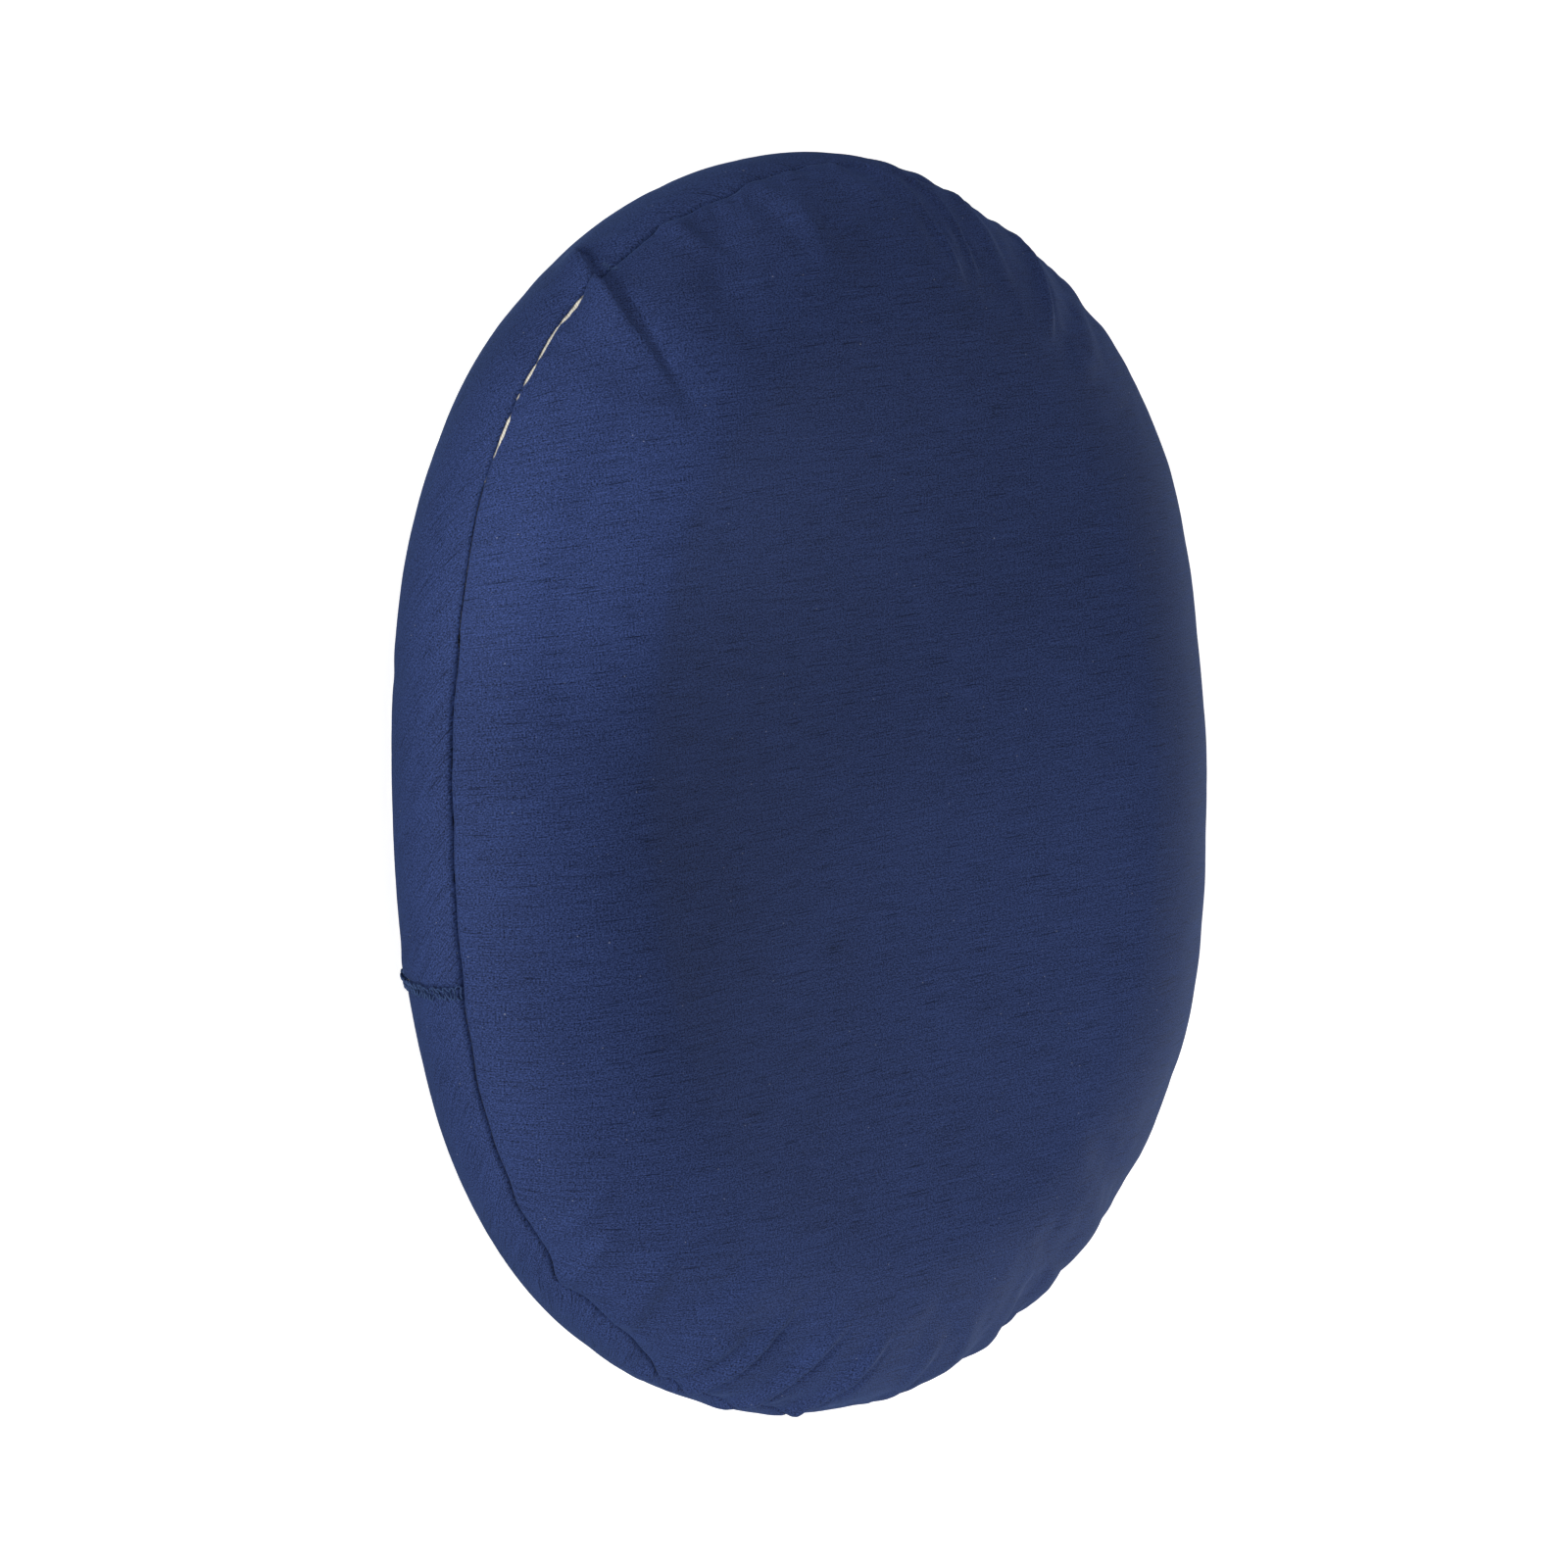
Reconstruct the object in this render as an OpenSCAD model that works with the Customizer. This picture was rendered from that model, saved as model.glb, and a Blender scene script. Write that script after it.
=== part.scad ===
// Oval ring seat cushion: a moulded foam ring inside a zip-off boxed fabric cover.
// The cushion lies flat. +Z is up, +Y runs along the longer side, and the origin is on the
// underside at the middle of the outline. All sizes are in millimetres.

/* [Cushion] */
// Overall width of the covered cushion, along X
cushion_w = 330; // [322:1:336]
// Overall length of the covered cushion, along Y
cushion_l = 406; // [400:1:414]
// Overall thickness of the covered cushion
cushion_h = 76; // [70:1:90]

/* [Edge shape] */
// Height of the widest line of the side above the underside
waist_h = 30.5; // [26:0.5:36]
// How far the domed shoulder reaches inwards from the outline
crown_in = 56; // [48:1:62]
// How far the lower edge rolls inwards from the outline
foot_in = 25; // [20:1:30]

/* [Foam ring] */
// Width of the ring from the outline to the hole, measured at the waist
ring_w = 108; // [100:1:118]
// How far the foam rolls down into the hole at its top edge
hole_crown_in = 50; // [40:1:52]
// How far the foam rolls up into the hole at its bottom edge
hole_foot_in = 25; // [20:1:30]
// Clearance between the foam and the cover
foam_gap = 0.5; // [0.3:0.1:1]

/* [Cover] */
// Thickness of the cover fabric
fabric_t = 0.8; // [0.6:0.1:1]
// Height of the seam between the top panel and the side band
top_seam_h = 43; // [41:0.5:46]
// Position of the lower seam on the rolled lower edge, in degrees from the waist
foot_seam_a = 74; // [70:1:78]
// Width of the crease that a seam leaves between two pieces of fabric
seam_gap = 1; // [0.8:0.1:1.2]
// Diameter of the sewing thread along a seam
thread_d = 0.7; // [0.5:0.1:0.8]

/* [Zip] */
// Direction of the zip's closed end, in degrees round the +Y end of the outline
zip_closed_a = 124; // [122:1:128]
// Direction of the zip's other end, in degrees round the -X side of the outline
zip_open_a = 185.8; // [184:0.1:187]
// Width of the slit that the zip closes
slit_w = 3.4; // [3.2:0.1:4]
// Depth of the zip's tape below the cover's outer surface
tape_depth = 5.3; // [5.2:0.1:5.6]
// Thickness of the zip's tape
tape_t = 0.5; // [0.4:0.05:0.6]
// Width of each half of the zip's tape, from the middle of the zip
tape_w = 12.6; // [11:0.2:13]
// Radius of each row of coil
coil_r = 0.75; // [0.6:0.05:0.8]
// Width of the slider
slider_w = 8; // [7.6:0.1:8.6]
// Length of the slider
slider_l = 10; // [9:0.5:11]
// Length of the pull tab beyond its pin
tab_l = 18; // [14:1:20]
// Width of the pull tab
tab_w = 2.4; // [2:0.1:2.4]

/* [Label] */
// Length of the blank care label
label_l = 45; // [30:5:60]
// Width of the blank care label
label_w = 25; // [20:5:30]

/* [Hidden] */

half_w = cushion_w / 2;
half_l = cushion_l / 2;
crown_h = cushion_h - waist_h;

// The outline is an oval of four arcs that meet smoothly. Each end arc is centred on the Y axis
// and each side arc on the X axis. Two neighbouring centres and the middle of the cushion make a
// right-angled triangle with sides in the ratio 11 : 60 : 61, which sets every arc from the
// cushion's width and length.
oval_unit = (half_l - half_w) / 10;
end_c = 11 * oval_unit;
side_c = 60 * oval_unit;
end_r = half_w - oval_unit;
side_r = end_r + 61 * oval_unit;
join_a = atan2(end_c, side_c);

// Each arc has a region of its own, and the regions meet on the lines through the centres.
far_x = 2 * side_c;
far_y = 3 * end_c;
end_y = end_c + far_x;
BACK_REGION = [[0, end_c], [far_x, far_y], [far_x, end_y], [-far_x, end_y], [-far_x, far_y]];
LEFT_REGION = [[0, end_c], [-far_x, far_y], [-far_x, -far_y], [0, -end_c]];
FRONT_REGION = [for (p = BACK_REGION) -p];
RIGHT_REGION = [for (p = LEFT_REGION) -p];

// Each arc is [centre x, centre y, radius, first angle, last angle, region].
END_BACK = [0, end_c, end_r, join_a, 180 - join_a, BACK_REGION];
SIDE_LEFT = [side_c, 0, side_r, 180 - join_a, 180 + join_a, LEFT_REGION];
END_FRONT = [0, -end_c, end_r, 180 + join_a, 360 - join_a, FRONT_REGION];
SIDE_RIGHT = [-side_c, 0, side_r, -join_a, join_a, RIGHT_REGION];
overrun_a = 4;

// The top seam's place on the shoulder, the outward slope of the fabric there and how tightly
// the section curves there.
seam_a = asin((top_seam_h - waist_h) / crown_h);
seam_tilt = atan2(sin(seam_a) / crown_h, cos(seam_a) / crown_in);
seam_speed = sqrt(pow(crown_in * sin(seam_a), 2) + pow(crown_h * cos(seam_a), 2));
seam_curve_r = pow(seam_speed, 3) / (crown_in * crown_h);
section_step = 7.5;

// How far a panel's section reaches in from the outline, to past the middle of the cushion.
panel_reach = half_w + 5;

// Depths of the zip's parts below the fabric's outer surface
tab_t = 1;
tab_depth = 2;
eye_r = 0.85;
pin_r = 0.5;
pin_clearance = 0.05;
plate_t = 1;
chain_gap = 2.2;
tape_slot = 1.1;
flange_w = 0.8;
post_w = 0.5;
post_l = 3;
into_plate = 0.1;
cheek_t = 0.6;
cheek_gap = 0.2;
cheek_l = 3;
cheek_h = 2;
coil_split = 1.1;
stop_l = 1.6;
stop_h = 1.9;
stop_gap_a = 0.05;
bottom_stop_l = 3;
tape_flat = 4.8;
tape_rise = 4.2;
tape_gap = 0.05;
tape_steps = 8;
tape_clearance = 0.3;
tape_lift = tape_depth - fabric_t - tape_t / 2 - tape_clearance;
tape_extra_a = 2;
hollow_gap = 0.5;
hollow_shallow = 4.4;
hollow_deep_w = 5.6;
hollow_slope_w = 10;
hollow_edge = 0.8;
hollow_extra_a = tape_extra_a + 1;
stitch_line = 10.4;
stitch_d = 0.5;
stitch_gap = 0.05;
stitch_extra_a = tape_extra_a - 0.5;
slit_margin_a = 0.4;
slit_reach = 3;
overlock_w = 4;
overlock_t = 0.7;
tack_w = 2;
tack_l = 6;
tack_t = 0.6;
on_fabric = 0.05;
band_join_gap = 0.4;
label_t = 0.3;
label_gap = 0.1;
outer_plate_x = -(tape_depth - chain_gap / 2);
inner_plate_x = -(tape_depth + chain_gap / 2);

// The slider is parked at the zip's closed end, just past the end stops.
park_gap_a = 0.4;
zip_path_r = end_r + section_point(seam_a, 0)[0];
slider_half_a = (slider_l / 2) / zip_path_r * 180 / PI;
stop_a = stop_l / zip_path_r * 180 / PI;
park_a = zip_closed_a + slit_margin_a + stop_a + park_gap_a + slider_half_a;

// A point of the section on the shoulder or on the lower edge, at a depth below the surface.
// x is 0 on the outline and negative inwards, and y is the height.
function section_point(a, depth) =
    [-crown_in + (crown_in - depth) * cos(a), waist_h + (crown_h - depth) * sin(a)];
function foot_point(a, depth) =
    [-foot_in + (foot_in - depth) * cos(a), waist_h - (waist_h - depth) * sin(a)];
function steps(from, to) = [for (i = [0 : ceil((to - from) / section_step)])
    from + (to - from) * i / ceil((to - from) / section_step)];
function reversed(list) = [for (i = [len(list) - 1 : -1 : 0]) list[i]];

// The angle on the shoulder of a point a given distance above the top seam.
function above_seam(distance) = seam_a + distance / seam_speed * 180 / PI;
function smooth(t) = let (u = min(max(t, 0), 1)) u * u * (3 - 2 * u);

// How far the middle of the tape lies from the surface's tangent, at a distance from the zip.
function tape_x(y) = let (rise = smooth((abs(y) - tape_flat) / tape_rise))
    -tape_depth + rise * (tape_lift - y * y / (2 * seam_curve_r));

// Sweeps a section round part of one arc of the outline. A section that reaches past the arc's
// centre is cut off there.
module arc_sweep(arc, from, to, past_centre = false) {
    translate([arc[0], arc[1], 0])
        rotate_extrude(angle = to - from, start = from, $fn = 180)
            intersection() {
                translate([arc[2], 0]) children();
                if (past_centre) translate([0, -1]) square([2 * arc[2], cushion_h + 2]);
            }
}

// Keeps what lies in an arc's own region, so that neighbouring arcs meet exactly.
module keep_in_region(arc) {
    intersection() {
        children();
        translate([0, 0, -1]) linear_extrude(cushion_h + 2) polygon(arc[5]);
    }
}

// Sweeps a section round the part of one arc that the zip runs along, past the end of the arc's
// region, and lengthened at the zip's own end by extra degrees of the end arc.
module zip_sweep(arc, extra) {
    if (arc == END_BACK)
        arc_sweep(arc, zip_closed_a - extra, arc[4] + 2 * overrun_a) children();
    if (arc == SIDE_LEFT)
        arc_sweep(arc, arc[3] - 2 * overrun_a, zip_open_a + extra * end_r / side_r) children();
}

// Sweeps the first section all the way round. A second one is cut out along the zip.
module sweep_all_round(extra = 0, past_centre = false) {
    for (arc = [END_BACK, SIDE_LEFT, END_FRONT, SIDE_RIGHT])
        keep_in_region(arc) difference() {
            arc_sweep(arc, arc[3] - overrun_a, arc[4] + overrun_a, past_centre) children(0);
            if ($children > 1) zip_sweep(arc, extra) children(1);
        }
}

module sweep_zip(extra = 0) {
    for (arc = [END_BACK, SIDE_LEFT])
        keep_in_region(arc) zip_sweep(arc, extra) children();
}

// Sweeps a section along the rest of the outline, from the zip's open end round to its other end.
module sweep_beyond_zip() {
    keep_in_region(SIDE_LEFT) arc_sweep(SIDE_LEFT, zip_open_a, SIDE_LEFT[4] + overrun_a) children();
    for (arc = [END_FRONT, SIDE_RIGHT])
        keep_in_region(arc) arc_sweep(arc, arc[3] - overrun_a, arc[4] + overrun_a) children();
    keep_in_region(END_BACK) arc_sweep(END_BACK, END_BACK[3] - overrun_a, zip_closed_a) children();
}

// Puts a section on the top seam, with x pointing straight out of the fabric and y up along it.
module on_seam() {
    translate(section_point(seam_a, 0)) rotate(seam_tilt) children();
}

// The top panel's section, from the top seam over the shoulder and across past the middle.
module top_panel_strip() {
    start = above_seam(seam_gap / 2);
    polygon(concat(
        [for (a = steps(start, 90)) section_point(a, 0)],
        [[-panel_reach, cushion_h], [-panel_reach, cushion_h - fabric_t]],
        [for (a = reversed(steps(start, 90))) section_point(a, fabric_t)]));
}

// The bottom panel's section, from the lower seam round the lower edge and across past the middle.
module bottom_panel_strip() {
    start = foot_seam_a + seam_gap / foot_in * 180 / PI;
    polygon(concat(
        [for (a = steps(start, 90)) foot_point(a, 0)],
        [[-panel_reach, 0], [-panel_reach, fabric_t]],
        [for (a = reversed(steps(start, 90))) foot_point(a, fabric_t)]));
}

// The side band's section, from just below the top seam down to the lower seam.
module band_strip(outer = 0, inner = fabric_t) {
    top = above_seam(-seam_gap / 2);
    bottom = foot_seam_a;
    polygon(concat(
        [for (a = reversed(steps(0, top))) section_point(a, outer)],
        [for (a = steps(0, bottom)) if (a > 0) foot_point(a, outer)],
        [for (a = reversed(steps(0, bottom))) if (a > 0) foot_point(a, inner)],
        [for (a = steps(0, top)) section_point(a, inner)]));
}

// The slit that the zip closes, as a section through the fabric.
module slit_section() {
    on_seam() translate([-slit_reach, -slit_w / 2]) square([2 * slit_reach, slit_w]);
}

// The ring's section: rounded over the shoulder and the lower edge, and into the hole.
module foam_section() {
    d = fabric_t + foam_gap;
    outer_top = [for (a = steps(0, 90)) section_point(a, d)];
    outer_foot = [for (a = reversed(steps(0, 90))) if (a > 0) foot_point(a, d)];
    hole_top = [for (a = reversed(steps(0, 90)))
        [-ring_w + hole_crown_in * (1 - cos(a)), waist_h + (crown_h - d) * sin(a)]];
    hole_foot = [for (a = steps(0, 90)) if (a > 0)
        [-ring_w + hole_foot_in * (1 - cos(a)), waist_h - (waist_h - d) * sin(a)]];
    polygon(concat(outer_foot, outer_top, hole_top, hole_foot));
}

// The hollow that the zip presses into the foam: shallow under the tape, deep under the slider.
module zip_hollow_section() {
    deep = inner_plate_x - plate_t - hollow_gap;
    right = [[deep, hollow_deep_w], [-hollow_shallow, hollow_slope_w],
             [-hollow_shallow, tape_w + hollow_edge], [hollow_shallow, tape_w + hollow_edge]];
    on_seam() polygon(concat(right, [for (p = reversed(right)) [p[0], -p[1]]]));
}

module foam_ring() {
    color("ivory") sweep_all_round(hollow_extra_a) {
        foam_section();
        zip_hollow_section();
    }
}

module cover_top_panel() {
    color("midnightblue") sweep_all_round(-slit_margin_a, true) {
        top_panel_strip();
        slit_section();
    }
}

module cover_bottom_panel() {
    color("midnightblue") sweep_all_round(0, true) bottom_panel_strip();
}

// One long strip of fabric whose two ends meet at the zip's other end.
module side_band() {
    color("midnightblue") difference() {
        sweep_all_round(-slit_margin_a) {
            band_strip();
            slit_section();
        }
        translate([side_c, 0, -1]) rotate([0, 0, zip_open_a])
            translate([side_r - crown_in, -band_join_gap / 2, 0])
                cube([2 * crown_in, band_join_gap, cushion_h]);
    }
}

// The line of stitches in the crease of the top seam, outside the zip.
module top_seam_thread() {
    color("black") sweep_beyond_zip()
        on_seam() translate([-fabric_t / 2, 0]) circle(d = thread_d, $fn = 24);
}

module bottom_seam_thread() {
    crease = foot_point(foot_seam_a + seam_gap / 2 / foot_in * 180 / PI, fabric_t / 2);
    color("black") sweep_all_round() translate(crease) circle(d = thread_d, $fn = 24);
}

// The stitch lines that hold each half of the tape, side +1 by the panel and -1 by the band.
module zip_stitching(side) {
    y = side * stitch_line;
    depth_x = tape_x(y) - tape_t / 2 - stitch_d / 2 - stitch_gap;
    color("midnightblue") sweep_zip(stitch_extra_a)
        on_seam() translate([depth_x, y]) circle(d = stitch_d, $fn = 24);
}

// Overlock thread across the band where its two ends are joined.
module band_join_overlock() {
    half_a = overlock_w / 2 / side_r * 180 / PI;
    color("darkslateblue")
        arc_sweep(SIDE_LEFT, zip_open_a - half_a, zip_open_a + half_a)
            band_strip(-overlock_t, -on_fabric);
}

// The bar of stitches that closes the seam at the zip's closed end.
module zip_end_bar_tack() {
    color("darkslateblue")
        arc_sweep(END_BACK, zip_closed_a - tack_w / end_r * 180 / PI, zip_closed_a)
            on_seam() translate([on_fabric, -tack_l / 2]) square([tack_t, tack_l]);
}

// Half of the tape, side +1 by the panel and -1 by the band. It lies flat beside the coil,
// then rises to meet the fabric that it is sewn to.
module zip_tape(side) {
    inner = coil_split / 2 + 2 * coil_r + tape_gap;
    ys = [for (i = [0 : tape_steps]) inner + (tape_w - inner) * i / tape_steps];
    color("whitesmoke") sweep_zip(tape_extra_a) on_seam() polygon(concat(
        [for (y = ys) [tape_x(y) + tape_t / 2, side * y]],
        [for (y = reversed(ys)) [tape_x(y) - tape_t / 2, side * y]]));
}

module zip_coil(side) {
    color("white") sweep_zip()
        on_seam() translate([-tape_depth, side * (coil_split / 2 + coil_r)]) circle(r = coil_r, $fn = 32);
}

// A small clip in line with one row of coil, as a section.
module stop_section(side) {
    on_seam() translate([-tape_depth - stop_h / 2, side * (coil_split / 2 + coil_r) - coil_r])
        square([stop_h, 2 * coil_r]);
}

module zip_end_stops() {
    color("silver") for (side = [-1, 1])
        arc_sweep(END_BACK, zip_closed_a - stop_a - stop_gap_a, zip_closed_a - stop_gap_a)
            stop_section(side);
}

module zip_bottom_stop() {
    start_a = zip_open_a + stop_gap_a;
    chain_w = coil_split + 4 * coil_r;
    color("silver") arc_sweep(SIDE_LEFT, start_a, start_a + bottom_stop_l / side_r * 180 / PI)
        on_seam() translate([-tape_depth - stop_h / 2, -chain_w / 2]) square([stop_h, chain_w]);
}

// One plate of the slider with its two side flanges. The plate's face lies at x, and side is
// +1 where the plate is above the tape and -1 below it.
module slider_plate(x, side) {
    flange_h = (chain_gap - tape_slot) / 2;
    translate([side > 0 ? x : x - plate_t, -slider_w / 2]) square([plate_t, slider_w]);
    flange_x = side > 0 ? x - flange_h : x - into_plate;
    for (edge = [-1, 1])
        translate([flange_x, edge * (slider_w - flange_w) / 2 - flange_w / 2])
            square([flange_h + into_plate, flange_w]);
}

// Stands a solid on the zip at an angle round the +Y end, with its x axis pointing out of the
// fabric, y down along it and z along the zip towards its open end.
module on_zip(a) {
    seam = section_point(seam_a, 0);
    translate([END_BACK[0], END_BACK[1], 0]) rotate([0, 0, a])
        translate([end_r + seam[0], 0, seam[1]])
            rotate([0, -seam_tilt, 0]) rotate([-90, 0, 0]) children();
}

module zip_slider() {
    post_a = post_l / zip_path_r * 180 / PI;
    back_a = park_a - slider_half_a;
    color("silver") difference() {
        union() {
            arc_sweep(END_BACK, back_a, park_a + slider_half_a)
                on_seam() {
                    slider_plate(outer_plate_x, 1);
                    slider_plate(inner_plate_x, -1);
                }
            arc_sweep(END_BACK, back_a, back_a + post_a)
                on_seam() translate([inner_plate_x - into_plate, -post_w / 2])
                    square([chain_gap + 2 * into_plate, post_w]);
            on_zip(park_a) for (side = [-1, 1])
                translate([outer_plate_x + plate_t - into_plate,
                           side * (tab_w / 2 + cheek_gap + cheek_t / 2) - cheek_t / 2, -cheek_l / 2])
                    cube([cheek_h, cheek_t, cheek_l]);
        }
        on_zip(park_a) translate([-tab_depth, 0, 0]) rotate([90, 0, 0])
            cylinder(r = pin_r, h = 2 * tab_w, center = true, $fn = 48);
    }
}

// The pin that the pull tab turns on, held in the slider's two cheeks.
module slider_pin() {
    color("silver") on_zip(park_a) translate([-tab_depth, 0, 0]) rotate([90, 0, 0])
        cylinder(r = pin_r, h = tab_w + 2 * (cheek_gap + cheek_t), center = true, $fn = 48);
}

// The pull tab lies along the closed zip, turned in a little to follow the outline's curve.
module pull_tab() {
    chord_a = asin(tab_l / 2 / zip_path_r);
    color("silver") on_zip(park_a) translate([-tab_depth, 0, 0]) rotate([0, -chord_a, 0])
        difference() {
            rotate([90, 0, 0]) linear_extrude(tab_w, center = true) {
                circle(r = eye_r, $fn = 48);
                translate([-tab_t / 2, 0]) square([tab_t, tab_l]);
            }
            rotate([90, 0, 0]) cylinder(r = pin_r + pin_clearance, h = 2 * tab_w, center = true, $fn = 48);
        }
}

// A blank label between the foam and the bottom panel.
module care_label() {
    color("white") translate([-half_w + ring_w / 2 - label_w / 2, -label_l / 2, fabric_t + label_gap])
        cube([label_w, label_l, label_t]);
}

foam_ring();
cover_top_panel();
cover_bottom_panel();
side_band();
top_seam_thread();
bottom_seam_thread();
zip_stitching(1);  // zip_stitching_panel
zip_stitching(-1);  // zip_stitching_band
band_join_overlock();
zip_end_bar_tack();
zip_tape(1);  // zip_tape_panel
zip_tape(-1);  // zip_tape_band
zip_coil(1);  // zip_coil_panel
zip_coil(-1);  // zip_coil_band
zip_end_stops();
zip_bottom_stop();
zip_slider();
slider_pin();
pull_tab();
care_label();
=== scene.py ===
import math

import bpy
import numpy as np
from mathutils import Matrix, Vector
from mathutils.kdtree import KDTree


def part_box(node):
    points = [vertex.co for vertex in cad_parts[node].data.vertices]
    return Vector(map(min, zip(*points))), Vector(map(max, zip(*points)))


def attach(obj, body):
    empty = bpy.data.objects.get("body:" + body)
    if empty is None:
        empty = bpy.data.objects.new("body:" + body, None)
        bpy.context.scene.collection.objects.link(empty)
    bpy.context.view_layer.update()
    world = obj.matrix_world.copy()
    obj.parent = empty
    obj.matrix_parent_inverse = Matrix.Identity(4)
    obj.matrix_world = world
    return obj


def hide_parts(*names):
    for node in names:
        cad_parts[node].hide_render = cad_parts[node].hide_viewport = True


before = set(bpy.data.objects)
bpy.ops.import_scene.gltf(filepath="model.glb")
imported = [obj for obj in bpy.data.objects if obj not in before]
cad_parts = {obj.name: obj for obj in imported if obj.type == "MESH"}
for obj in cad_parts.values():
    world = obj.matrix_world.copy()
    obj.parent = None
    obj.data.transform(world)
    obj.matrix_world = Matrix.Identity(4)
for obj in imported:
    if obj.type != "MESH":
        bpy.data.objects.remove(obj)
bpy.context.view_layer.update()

MM = 0.001
# The cushion's section, as on the CAD cover: the dome of the shoulder and the rolled lower edge.
WAIST_H = 30.5 * MM
CROWN_IN = 56 * MM
FOOT_IN = 25 * MM
TOP_SEAM_H = 43 * MM
FOOT_SEAM_A = math.radians(74)
BAND_JOIN_A = math.radians(185.8)
ZIP_CLOSED_A = math.radians(124)

half_w, half_l = (float(c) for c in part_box("side_band")[1][:2])
cushion_h = float(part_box("cover_top_panel")[1][2])


# --- The outline and the section -----------------------------------------------------------

oval_unit = (half_l - half_w) / 10
end_c, side_c, end_r = 11 * oval_unit, 60 * oval_unit, half_w - oval_unit
side_r = end_r + 61 * oval_unit
join_a = math.atan2(end_c, side_c)

# Anticlockwise from the band's join: centre x, centre y, radius, first angle, last angle.
ARCS = [
    (side_c, 0, side_r, BAND_JOIN_A, math.pi + join_a),
    (0, -end_c, end_r, math.pi + join_a, 2 * math.pi - join_a),
    (-side_c, 0, side_r, -join_a, join_a),
    (0, end_c, end_r, join_a, math.pi - join_a),
    (side_c, 0, side_r, math.pi - join_a, BAND_JOIN_A),
]
arc_ends = np.cumsum([0] + [arc[2] * (arc[4] - arc[3]) for arc in ARCS])
perimeter = float(arc_ends[-1])


def outline(s):
    """Point and outward direction on the outline, at a distance s round it from the band's join."""
    s = np.asarray(s, float) % perimeter
    i = np.clip(np.searchsorted(arc_ends, s, side="right") - 1, 0, len(ARCS) - 1)
    x, y, radius, start = (np.array([arc[k] for arc in ARCS], float)[i] for k in range(4))
    angle = start + (s - arc_ends[i]) / radius
    out = np.stack([np.cos(angle), np.sin(angle)], -1)
    return np.stack([x, y], -1) + radius[..., None] * out, out


QUARTER_STEPS = 361
SLOPE_STEP = 0.4 * MM


def section_table():
    """Inset and height along the section, with the distance from the top seam."""
    a = np.radians(np.linspace(0, 90, QUARTER_STEPS))
    shoulder = np.stack([CROWN_IN * (1 - np.cos(a)), WAIST_H + (cushion_h - WAIST_H) * np.sin(a)], -1)
    foot = np.stack([FOOT_IN * (1 - np.cos(a)), WAIST_H * (1 - np.sin(a))], -1)
    line = np.concatenate([foot[::-1], shoulder[1:]])
    length = np.concatenate([[0], np.cumsum(np.linalg.norm(np.diff(line, axis=0), axis=1))])
    seam = np.interp(TOP_SEAM_H, line[len(foot):, 1], length[len(foot):])
    return length - seam, line


section_d, section_line = section_table()
crown_d = float(section_d[-1])
foot_d = float(section_d[0])
foot_seam_h = WAIST_H * (1 - math.sin(FOOT_SEAM_A))
band_d = float(np.interp(foot_seam_h, section_line[:QUARTER_STEPS, 1], section_d[:QUARTER_STEPS]))


def section_point(d):
    """Inset and height of the section, at a distance d above the top seam."""
    return np.interp(d, section_d, section_line[:, 0]), np.interp(d, section_d, section_line[:, 1])


def section(d):
    """Inset, height and the outward slope of the section, at a distance d above the top seam."""
    inset, height = section_point(d)
    inset_below, height_below = section_point(d - SLOPE_STEP)
    inset_above, height_above = section_point(d + SLOPE_STEP)
    run = inset_above - inset_below
    rise = height_above - height_below
    size = np.hypot(run, rise) + 1e-12
    return inset, height, rise / size, run / size


def on_cover(s, d, lift=0.0):
    """A point of the cover, lifted off its plain surface along the outward direction.

    Past the crown and the foot the surface is flat, and runs straight to the middle."""
    s, d, lift = np.broadcast_arrays(np.asarray(s, float), d, lift)
    point, out = outline(s)
    inset, height, slope_out, slope_up = section(np.clip(d, foot_d, crown_d))
    over = np.where(d > crown_d, d - crown_d, np.minimum(d - foot_d, 0))
    slope_up = np.where(over > 0, 1, np.where(over < 0, -1, slope_up))
    slope_out = np.where(over == 0, slope_out, 0)
    ring = point - out * inset[..., None]
    reach = np.linalg.norm(ring, axis=-1)
    ring = ring * (1 - np.abs(over) / reach)[..., None]
    ring = ring + out * (slope_out * lift)[..., None]
    return np.concatenate([ring, (height + slope_up * lift)[..., None]], -1)


# --- Shapes that the relief is made of -----------------------------------------------------


def wrapped(ds):
    """A distance round the outline, brought between minus and plus half the perimeter."""
    return (ds + perimeter / 2) % perimeter - perimeter / 2


def bump(x):
    """A smooth hill: 1 at 0 and nearly nothing past 2."""
    return np.exp(-x * x)


def ramp(x):
    """A smooth step up from 0 at 0 to 1 at 1."""
    x = np.clip(x, 0, 1)
    return x * x * (3 - 2 * x)


def at_ends(s):
    """1 round the two ends of the oval and 0 along its sides."""
    point, _ = outline(s)
    return ramp((np.abs(point[..., 1]) / half_l - 0.45) / 0.4)


FOLD_FADE = 0.25


def fold(s, d, crest, width, height, steep):
    """A fold of the fabric along crest, a list of (distance round, distance above the seam) in mm.

    steep under 1 makes the side of the smaller s narrower, with a shadow groove beside it. A steep
    below zero does the same on the other side."""
    crest = np.array(crest, float) * MM
    crest = crest[np.argsort(crest[:, 1])]
    low, high = crest[0, 1], crest[-1, 1]
    u = np.sign(steep) * wrapped(s - np.interp(d, crest[:, 1], crest[:, 0])) / (width * MM)
    steep = abs(steep)
    span = (high - low) * FOLD_FADE
    along = ramp((d - low) / span) * ramp((high - d) / (span * 1.6))
    across = np.where(u > 0, bump(u), bump(u / steep))
    groove = 0.45 * (1 - steep) * bump((u + 1.9 * steep) / (0.9 * steep))
    return height * MM * along * (across - groove)


# --- The swelling of the stuffed cover, by cloth simulation --------------------------------

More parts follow.
